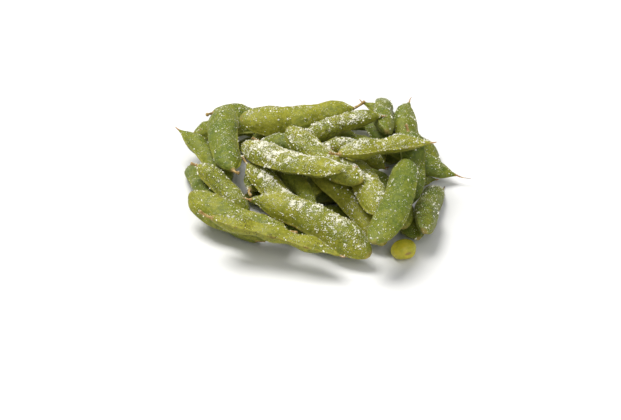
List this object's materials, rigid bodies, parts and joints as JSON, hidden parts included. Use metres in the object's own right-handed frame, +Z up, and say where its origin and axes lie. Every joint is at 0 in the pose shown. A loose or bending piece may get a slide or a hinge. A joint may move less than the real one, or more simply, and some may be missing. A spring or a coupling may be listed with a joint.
{
  "type": "edamame pod bundle",
  "caption": "Loose heap of cooked green edamame pods lying over one another on a flat surface, sprinkled with coarse salt, with a shelled bean beside them.",
  "frame": {"origin": "on the surface the heap rests on, under the middle of its bounding box", "axes": "+Z up; the side seen in front, with the loose bean, faces -Y; +X to the right of that side, along the heap's longest side"},
  "size_m": [0.1316, 0.1278, 0.0376],
  "materials": {
    "pod": "matte",
    "bean": "satin"
  },
  "bodies": {
    "root": {"loose_bean": "bean", "pod_back_broad": "pod", "pod_back_edge_long": "pod", "pod_back_edge_short": "pod", "pod_back_low_left": "pod", "pod_back_low_middle": "pod", "pod_back_low_right": "pod", "pod_back_tip_left": "pod", "pod_back_tip_right": "pod", "pod_base_1": "pod", "pod_base_2": "pod", "pod_base_3": "pod", "pod_base_4": "pod", "pod_base_5": "pod", "pod_base_6": "pod", "pod_centre_blade": "pod", "pod_centre_left": "pod", "pod_centre_right": "pod", "pod_centre_short": "pod", "pod_crown_dark": "pod", "pod_crown_long": "pod", "pod_crown_right": "pod", "pod_front_broad": "pod", "pod_front_edge": "pod", "pod_front_green": "pod", "pod_front_left": "pod", "pod_front_left_low": "pod", "pod_front_right_low": "pod", "pod_inner_1": "pod", "pod_inner_2": "pod", "pod_inner_3": "pod", "pod_inner_4": "pod", "pod_left_back_steep": "pod", "pod_left_stalk": "pod", "pod_left_tip_lower": "pod", "pod_left_tip_upper": "pod", "pod_right_crown": "pod", "pod_right_dark": "pod", "pod_right_outer": "pod", "pod_right_tail": "pod", "pod_right_tip": "pod", "pod_right_upright": "pod", "pod_under_front": "pod"}
  },
  "joints": []
}
